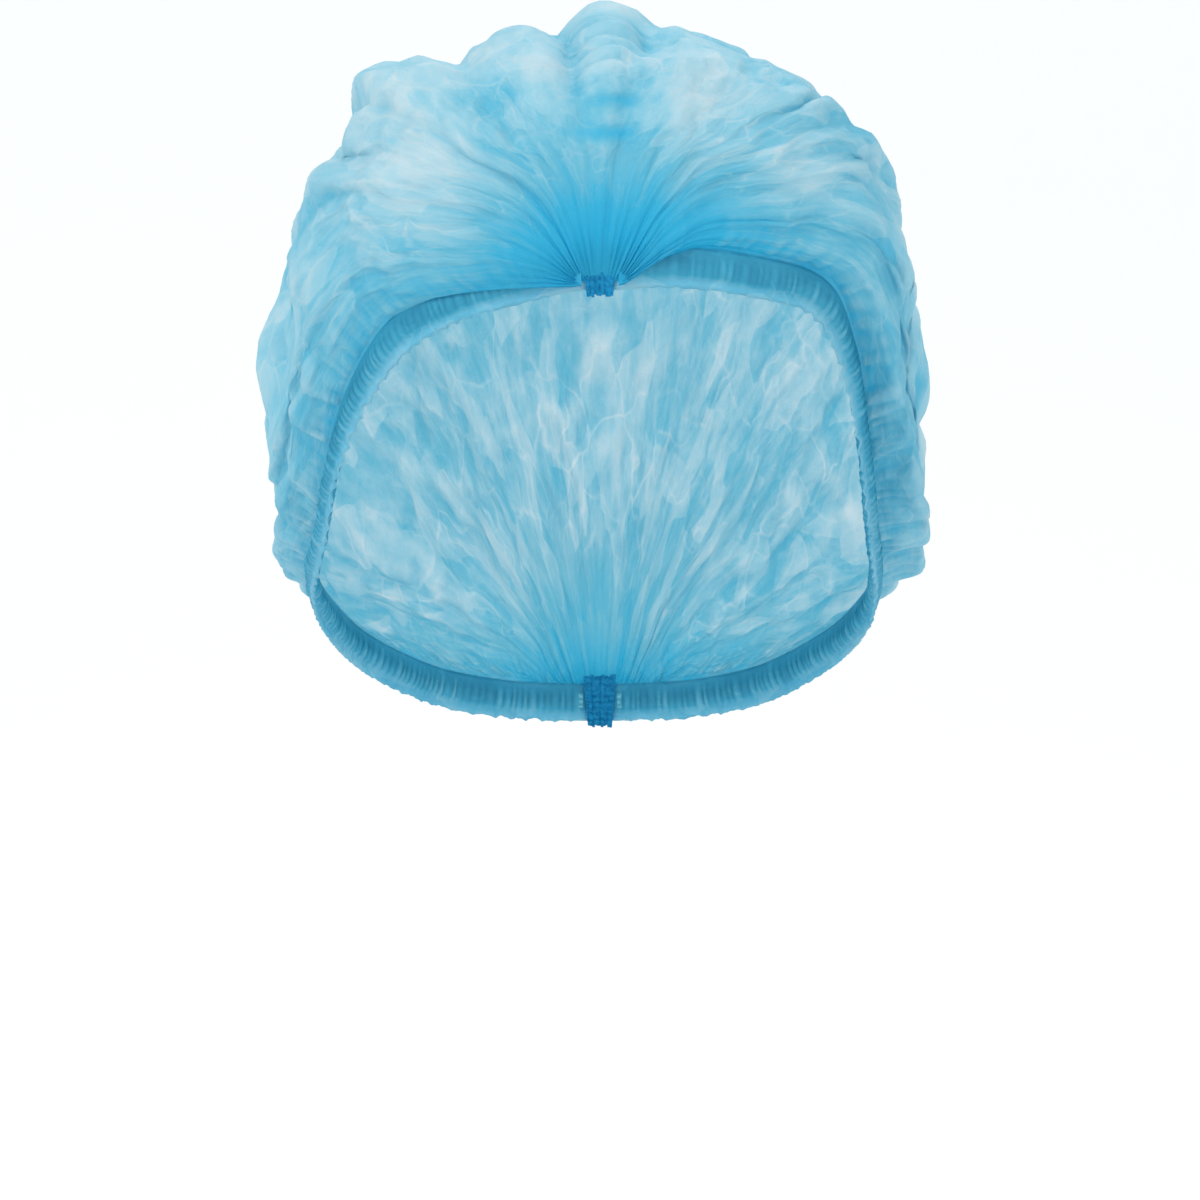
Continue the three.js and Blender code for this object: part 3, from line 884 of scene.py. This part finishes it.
def make_hem(name, side):
    sizes = len(HEM_SECTION), HEM_STEPS
    hem, across, along = make_sheet(name, *sizes, partial(place_hem, side))
    up = section_points(across)[1]
    length = hem_lengths(side)[1]
    # The ribs again, for painted highlight on their tops on the casing and painted shade between them
    rib = uneven_waves(along, int(length / RIB_PITCH), 21 + side) - RIB_MEAN
    rib = rib * gathered_share(along * length)
    layers = np.interp(up, *HEM_LAYERS)
    add_attribute(hem.data, "layers", np.clip(layers - RIB_HIGHLIGHT * rib * on_casing(up), 0, 1))
    add_flat_map(hem.data, across, along, 2 * HEM_HEIGHT, length)
    bm = bmesh.new()
    bm.from_mesh(hem.data)
    bmesh.ops.remove_doubles(bm, verts=bm.verts, dist=0.001 * MM)
    ends = [edge for edge in bm.edges if edge.is_boundary]
    bmesh.ops.holes_fill(bm, edges=ends, sides=0)
    bmesh.ops.recalc_face_normals(bm, faces=bm.faces)
    bm.to_mesh(hem.data)
    bm.free()
    print(f"{name}: {len(hem.data.polygons)} faces")
    return hem


hem_left_cloth = make_hem("hem_left_cloth", -1)
hem_right_cloth = make_hem("hem_right_cloth", 1)

# %% [markdown]
# ## The welds
#
# At both ends of the strip the stacked pleats are pressed and fused by ultrasound. The layers stand
# side by side, so the weld shows their edges as upright ribs, and the tool leaves a row of crimp bars
# across them. A box would do from afar. Here each layer is a thin bevelled plate of its own height,
# and the crimp squeezes the whole stack.

# %% One layer of a weld
WELD_LAYERS = 11
WELD_OVERLAP = 0.3
CRIMP_PITCH = 1.7
CRIMP_DEPTH = 0.3
WELD_LEAN = 0.9
WELD_CUTS = 30
# Each layer's own share of the depth, loss of height, share of the pitch in thickness, and sideways
# lean, least and most
LAYER_DEPTHS = (0.75, 1.1)
LAYER_LOSSES = (0.0, 1.6)
LAYER_THICKNESSES = (1.15, 1.6)
LAYER_LEANS = (-0.25, 0.25)
# The stack is this narrow at its foot, widens by this much on its way up, and thins by this much
FOOT_WIDTH = 0.7
TOP_WIDENS = 0.25
TOP_THINS = 0.4
LAYER_BEVEL = 0.12
SHARP_ANGLE = 1.0


def weld_layer(draw, size, offset, centre):
    """One fused layer: a bevelled plate, squeezed by the crimp bars, that leans in at its top."""
    layer = bmesh.new()
    bmesh.ops.create_cube(layer, size=1.0)
    depth = size.y * draw.uniform(*LAYER_DEPTHS)
    height = size.z - draw.uniform(*LAYER_LOSSES)
    thick = size.x / WELD_LAYERS * draw.uniform(*LAYER_THICKNESSES)
    bmesh.ops.scale(layer, vec=Vector((thick, depth, height)), verts=layer.verts)
    upright = [e for e in layer.edges if abs(e.verts[0].co.z - e.verts[1].co.z) > height / 2]
    bmesh.ops.subdivide_edges(layer, edges=upright, cuts=WELD_CUTS, use_grid_fill=True)
    lean = draw.uniform(*LAYER_LEANS)
    for vertex in layer.verts:
        crimp = 0.5 + 0.5 * math.cos(2 * math.pi * vertex.co.z / CRIMP_PITCH)
        rise = vertex.co.z / size.z + 0.5
        fan = FOOT_WIDTH + TOP_WIDENS * rise
        vertex.co.y *= (1 - CRIMP_DEPTH * crimp) * (1 - TOP_THINS * rise)
        vertex.co.y -= math.copysign(WELD_LEAN * rise, centre.y)
        vertex.co.x = (vertex.co.x + offset) * fan + lean * rise
        vertex.co = (vertex.co + centre) * MM
    sharp = [e for e in layer.edges if e.calc_face_angle(0) > SHARP_ANGLE]
    width = LAYER_BEVEL * MM
    bmesh.ops.bevel(
        layer, geom=sharp, offset=width, segments=2, profile=0.5, affect="EDGES", material=-1
    )
    return layer


print(f"crimp bars {CRIMP_PITCH} mm apart")


# %% Weld tabs
def make_weld(name, box, seed):
    low, high = (corner / MM for corner in box)
    centre = (low + high) / 2
    size = high - low + Vector((2 * WELD_OVERLAP, 0, WELD_OVERLAP))
    pitch = size.x / WELD_LAYERS
    draw = np.random.default_rng(seed)
    plate = bpy.data.meshes.new("plate")
    whole = bmesh.new()
    for number in range(WELD_LAYERS):
        layer = weld_layer(draw, size, pitch * (number - (WELD_LAYERS - 1) / 2), centre)
        layer.to_mesh(plate)
        layer.free()
        whole.from_mesh(plate)
    bpy.data.meshes.remove(plate)
    bmesh.ops.recalc_face_normals(whole, faces=whole.faces)
    print(f"{name}: {WELD_LAYERS} fused layers")
    return new_object(name, whole)


weld_front_tab = make_weld("weld_front_tab", weld_front_box, 17)
weld_nape_tab = make_weld("weld_nape_tab", weld_nape_box, 18)

# %% [markdown]
# ## Materials
#
# Spunbonded polypropylene is a felt of fine extruded fibres, bonded by hot pins at dots about a
# millimetre apart. To the eye it is a soft matt sheet that lets light through, cloudy where the
# fibres bunch, and deeper in colour wherever layers overlap. An image of cloth could be wrapped over
# the crown. Here the finish is built from noise in the strip's own coordinates, so that the clouds,
# the streaks and the creases run with the pleats. The dots merge at this distance and aren't drawn.

# %% Helpers for colours and nodes
def linear(hex_colour):
    """An sRGB hex value as linear red, green, blue and alpha."""
    channels = [int(hex_colour[i : i + 2], 16) / 255 for i in (1, 3, 5)]
    return [c / 12.92 if c <= 0.04045 else ((c + 0.055) / 1.055) ** 2.4 for c in channels] + [1.0]


def add_node(material, kind, links=None, **settings):
    """Adds a node, sets its properties or inputs, and links inputs to outputs or to other nodes."""
    node = material.node_tree.nodes.new("ShaderNode" + kind)
    for name, value in settings.items():
        if hasattr(node, name):
            setattr(node, name, value)
        else:
            node.inputs[name.replace("_", " ")].default_value = value
    for name, source in (links or {}).items():
        if isinstance(source, bpy.types.Node):
            source = source.outputs[0]
        material.node_tree.links.new(source, node.inputs[name])
    return node


def new_material(name):
    material = bpy.data.materials.new(name)
    material.use_nodes = True
    material.node_tree.nodes.clear()
    return material


def colour_ramp(node, stops):
    elements = node.color_ramp.elements
    while len(elements) < len(stops):
        elements.new(0.5)
    for element, (position, hex_colour) in zip(elements, stops):
        element.position = position
        element.color = linear(hex_colour)


print("node helpers ready")


# %% Patterns in the strip's coordinates
# The part of a noise's range that is spread over the values asked for
NOISE_RANGE = {"From_Min": 0.3, "From_Max": 0.7}
# Size of the noise that bends the edges of cells, in millimetres
CELL_BEND_SIZE = 16.67


def strip_noise(material, across_mm, along_mm, detail, low, high):
    """Noise in the strip's coordinates, stretched to a real size, as a value from low to high."""
    uv = add_node(material, "UVMap", uv_map="strip")
    scale = (1000 / across_mm, 1000 / along_mm, 1)
    scaled = add_node(material, "Mapping", {"Vector": uv}, Scale=scale)
    texture = add_node(material, "TexNoise", {"Vector": scaled}, Scale=1.0, Detail=detail)
    limits = {"To_Min": low, "To_Max": high, **NOISE_RANGE}
    return add_node(material, "MapRange", {"Value": texture}, **limits)


def strip_cells(material, across_mm, along_mm, bend_mm, feature):
    """Irregular cells of a real size in the strip's coordinates, with bent edges."""
    uv = add_node(material, "UVMap", uv_map="strip")
    size = 1000 / CELL_BEND_SIZE
    bending = add_node(material, "TexNoise", {"Vector": uv}, Scale=size, Detail=2.0)
    colour = {0: bending.outputs["Color"]}
    shift = add_node(material, "VectorMath", colour, operation="SCALE", Scale=bend_mm * MM)
    moved = add_node(material, "VectorMath", {0: uv, 1: shift})
    scale = (1000 / across_mm, 1000 / along_mm, 1)
    scaled = add_node(material, "Mapping", {"Vector": moved}, Scale=scale)
    settings = {"feature": feature, "voronoi_dimensions": "2D", "Scale": 1.0}
    return add_node(material, "TexVoronoi", {"Vector": scaled}, **settings)


print("patterns ready")

# %% Spunbonded polypropylene
# Noises: size across and along in millimetres, detail, and the least and most that they add
STREAKS = (2.6, 11.0, 3.0, -0.07, 0.07)
CLOUDS = (18.0, 26.0, 2.0, -0.08, 0.08)
FIBRE_CLUMPS = (1.2, 2.4, 3.0, -0.035, 0.035)
# Painted highlight: this noise sets how much paler the cloth is drawn along its creases
CREASE_HIGHLIGHT_NOISE = (22.0, 30.0, 2.0, 0.04, -0.2)
# Fibres are drawn coarser than the real 0.02 mm so that they show
FIBRES = (0.5, 0.9, 3.0, 0.0, 0.1)
# Cells: size across and along and bend in millimetres. Creases lie between the large ones. Each
# small one is a pane, where the cloth lies flat over itself, paler or deeper than the next.
CREASE_CELLS = (10.0, 14.0, 26.0)
PANE_CELLS = (6.0, 12.0, 9.0)
PANE_RANGE = {"From_Min": 0.32, "From_Max": 0.72, "To_Min": 0.055, "To_Max": -0.08}
# The painted crease highlight fades out over this share of a cell from a crease
CREASE_HIGHLIGHT_RANGE = {"From_Min": 0.0, "From_Max": 0.06, "To_Max": 0.0}
# Where many layers lie over each other, their patterns and creases even out
EVENED_RANGE = {"From_Min": 0.45, "From_Max": 0.85, "To_Min": 1.0, "To_Max": 0.4}
OPAQUE_FROM = 0.45
THROUGH_SHARE = 0.4
RELIEF = 1.6


def spunbond(name, stops, thin_alpha):
    """Cloth of bonded fibres. Its colour deepens and it grows opaque with the layers attribute, and
    pale lines are painted along its creases as highlight.
    """
    material = new_material(name)
    add = partial(add_node, material)
    layers = add("Attribute", attribute_name="layers").outputs["Fac"]
    creases = strip_cells(material, *CREASE_CELLS, "DISTANCE_TO_EDGE")
    cells = strip_cells(material, *PANE_CELLS, "F1").outputs["Color"]
    panes = add("MapRange", {"Value": cells}, **PANE_RANGE)
    # Pale lines painted along the creases as highlight
    edges = {"Value": creases, "To Min": strip_noise(material, *CREASE_HIGHLIGHT_NOISE)}
    crease_highlight = add("MapRange", edges, **CREASE_HIGHLIGHT_RANGE)
    pattern, *rest = (strip_noise(material, *size) for size in (STREAKS, CLOUDS, FIBRE_CLUMPS))
    for part in (*rest, crease_highlight, panes):
        pattern = add("Math", {0: pattern, 1: part}, operation="ADD")
    evened = add("MapRange", {"Value": layers}, **EVENED_RANGE)
    shown = add("Math", {0: pattern, 1: evened}, operation="MULTIPLY")
    # Layers and pattern, with the painted crease highlight in it; colour and see-through follow this
    layers_and_painted_light = add("Math", {0: layers, 1: shown}, operation="ADD", use_clamp=True)
    colour = add("ValToRGB", {"Fac": layers_and_painted_light})
    colour_ramp(colour, stops)
    limits = {"From_Min": 0.0, "From_Max": OPAQUE_FROM, "To_Min": thin_alpha, "To_Max": 1.0}
    alpha = add("MapRange", {"Value": layers_and_painted_light}, **limits)
    height = add("Math", {0: creases, 1: strip_noise(material, *FIBRES)}, operation="ADD")
    relief = add("Math", {0: height, 1: evened}, operation="MULTIPLY")
    bump = add("Bump", {"Height": relief}, Strength=0.5, Distance=RELIEF * MM)
    links = {"Base Color": colour, "Normal": bump}
    front = add("BsdfPrincipled", links, Roughness=0.55, IOR=1.49)
    through = add("BsdfTranslucent", {"Color": colour, "Normal": bump})
    cloth = add("MixShader", {1: front, 2: through}, Fac=THROUGH_SHARE)
    clear = add("BsdfTransparent")
    mixed = add("MixShader", {"Fac": alpha, 1: clear, 2: cloth})
    add("OutputMaterial", {"Surface": mixed})
    return material


print("spunbonded cloth ready")

# %% The cloth of the crown and of the hems
# From one layer, pale and thin, to many. The hems are deeper, because each is cloth folded double.
CROWN_COLOURS = (
    (0.0, "#d4e3e6"),
    (0.3, "#a0d1df"),
    (0.55, "#6cbfd6"),
    (0.8, "#2fb4d9"),
    (1.0, "#10aed8"),
)
HEM_COLOURS = (
    (0.0, "#b2dde8"),
    (0.3, "#78cae2"),
    (0.6, "#3fb3d3"),
    (0.85, "#2599bd"),
    (1.0, "#1884a8"),
)
crown_material = spunbond("spunbonded polypropylene, crown", CROWN_COLOURS, 0.8)
hem_material = spunbond("spunbonded polypropylene, hem", HEM_COLOURS, 0.9)
print("cloth materials made")

# %% Fused polypropylene and elastic
# Size of the marks in melted cloth, in millimetres
MELT_MARK = 1.43
MELT_COLOURS = ((0.35, "#04709f"), (0.9, "#1790bf"))
# The real cords lie about 0.8 mm apart. They are drawn twice as coarse so that they show.
CORD_PITCH = 1.5708
CORD_COLOURS = ((0.2, "#3c97b0"), (0.8, "#62b4c9"))


def plain(name, kind, pattern, stops, **finish):
    """A finish whose colour follows one pattern on Object coordinates."""
    material = new_material(name)
    coords = add_node(material, "TexCoord").outputs["Object"]
    texture = add_node(material, kind, {"Vector": coords}, **pattern)
    ramp = add_node(material, "ValToRGB", {"Fac": texture.outputs["Fac"]})
    colour_ramp(ramp, stops)
    surface = add_node(material, "BsdfPrincipled", {"Base Color": ramp}, **finish)
    add_node(material, "OutputMaterial", {"Surface": surface})
    return material


# Melted by the weld, the cloth is dense: to the eye darker, with faint marks and hardly any gloss
marks = {"Scale": 1000 / MELT_MARK, "Detail": 2.0}
fused = {"Roughness": 0.5, "IOR": 1.49, "Specular_IOR_Level": 0.15}
weld_material = plain(
    "polypropylene fused by ultrasound", "TexNoise", marks, MELT_COLOURS, **fused
)
# Cords knitted lengthwise: to the eye a dull blue band with a lighter line along each cord. The wave
# texture runs through this many radians over one unit of its scale.
WAVE_TURN = 20
cords = {"Scale": 2 * math.pi / WAVE_TURN / (CORD_PITCH * MM), "Distortion": 2.0}
cords["bands_direction"] = "Z"
elastic_material = plain("knitted elastic", "TexWave", cords, CORD_COLOURS, Roughness=0.7)
print("weld and elastic materials made")

# %% [markdown]
# ## Dressing the frame
#
# The cloth is about a tenth of a millimetre thick, less than a pixel, so the crown stays a single
# surface that lets light through once. A Solidify modifier would give it a wall, and light would have
# to pass two surfaces. Each piece takes its material, rides on the one body, and stands for its solid.

# %% Materials and bodies
def smooth_faces(piece):
    piece.data.polygons.foreach_set("use_smooth", [True] * len(piece.data.polygons))


for piece in (crown_cloth, hem_left_cloth, hem_right_cloth):
    smooth_faces(piece)
for side in ("left", "right"):
    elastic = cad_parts["elastic_" + side]
    elastic.data.materials.clear()
    elastic.data.materials.append(elastic_material)

DRESSED = (
    (crown_cloth, "crown", "nonwoven_cloth", crown_material),
    (hem_left_cloth, "hem_left", "nonwoven_hem", hem_material),
    (hem_right_cloth, "hem_right", "nonwoven_hem", hem_material),
    (weld_front_tab, "weld_front", "welded_cloth", weld_material),
    (weld_nape_tab, "weld_nape", "welded_cloth", weld_material),
)
for piece, node, slot, material in DRESSED:
    piece.data.materials.append(material)
    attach(piece, "root")
    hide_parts(node)
print("pieces:", ", ".join(piece.name for piece, *_ in DRESSED))

# %% [markdown]
# ## Floor, light and camera
#
# The cap is shown against plain white in soft frontal light. A floor that curves up into a wall gives
# that without a horizon. The camera is level, far off, with a long lens, as in a catalogue picture.

# %% Floor with a curved back
# In metres: height, half the side, how far it lies forward, and the radius of the curve
FLOOR_HEIGHT = -0.19
FLOOR_REACH = 3.0
FLOOR_FORWARD = 0.6
CURVE_RADIUS = 0.8


def make_floor():
    bm = bmesh.new()
    bmesh.ops.create_grid(bm, x_segments=1, y_segments=1, size=FLOOR_REACH)
    bmesh.ops.translate(bm, vec=Vector((0, -FLOOR_FORWARD, FLOOR_HEIGHT)), verts=bm.verts)
    back = max(bm.edges, key=lambda edge: sum(v.co.y for v in edge.verts))
    raised = bmesh.ops.extrude_edge_only(bm, edges=[back])["geom"]
    top = [g for g in raised if isinstance(g, bmesh.types.BMVert)]
    bmesh.ops.translate(bm, vec=Vector((0, 0, FLOOR_REACH)), verts=top)
    radius = CURVE_RADIUS
    bmesh.ops.bevel(
        bm, geom=[back], offset=radius, segments=16, profile=0.5, affect="EDGES", material=-1
    )
    bmesh.ops.recalc_face_normals(bm, faces=bm.faces)
    floor = new_object("floor", bm)
    smooth_faces(floor)
    # Paper: to the eye an even white without gloss, so it mirrors nothing of the cap
    material = new_material("matt white paper")
    colour = linear("#f6f8f9")
    surface = add_node(material, "BsdfPrincipled", Base_Color=colour, Roughness=0.9)
    add_node(material, "OutputMaterial", {"Surface": surface})
    floor.data.materials.append(material)
    return floor


floor = make_floor()
print("floor at", FLOOR_HEIGHT)

# %% Lights
# Name, place, side in metres and power of each soft square light. All aim at the cap's middle.
LIGHTS = (
    ("key", (-0.9, -1.2, 1.2), 0.7, 12.0),
    ("fill", (1.2, -1.2, 0.5), 1.1, 3.0),
    ("back", (0.2, 1.0, 1.3), 0.9, 5.0),
)
AIM = Vector((0, 0, 0.05))
WORLD_STRENGTH = 0.95
scene = bpy.context.scene
for name, place, side, power in LIGHTS:
    light = bpy.data.lights.new(name, "AREA")
    light.shape = "SQUARE"
    light.size = side
    light.energy = power
    lamp = bpy.data.objects.new(name, light)
    lamp.location = place
    lamp.rotation_euler = (AIM - Vector(place)).to_track_quat("-Z", "Y").to_euler()
    scene.collection.objects.link(lamp)
world = bpy.data.worlds.new("studio")
world.use_nodes = True
background = world.node_tree.nodes["Background"]
background.inputs["Color"].default_value = linear("#ffffff")
background.inputs["Strength"].default_value = WORLD_STRENGTH
scene.world = world
scene.view_settings.view_transform = "Standard"
print(len(LIGHTS), "lights")

# %% Camera
# The image's side in pixels, and how much of the cap a pixel shows
IMAGE_SIDE = 1200
MM_PER_PIXEL = 0.275
SENSOR = 36.0
CAMERA_DISTANCE = 1.8
CAMERA_HEIGHT = -23.2 * MM
camera_data = bpy.data.cameras.new("camera")
camera_data.sensor_width = SENSOR
camera_data.lens = SENSOR * CAMERA_DISTANCE / (IMAGE_SIDE * MM_PER_PIXEL * MM)
camera = bpy.data.objects.new("camera", camera_data)
camera.location = (0, -CAMERA_DISTANCE, CAMERA_HEIGHT)
camera.rotation_euler = (math.pi / 2, 0, 0)
scene.collection.objects.link(camera)
scene.camera = camera
print(f"lens {camera_data.lens:.0f} mm")

# %% [markdown]
#
# The dressed part has to stay in the box of the solids, give or take what cloth may stand proud.

# %% Finish
print("scene built")
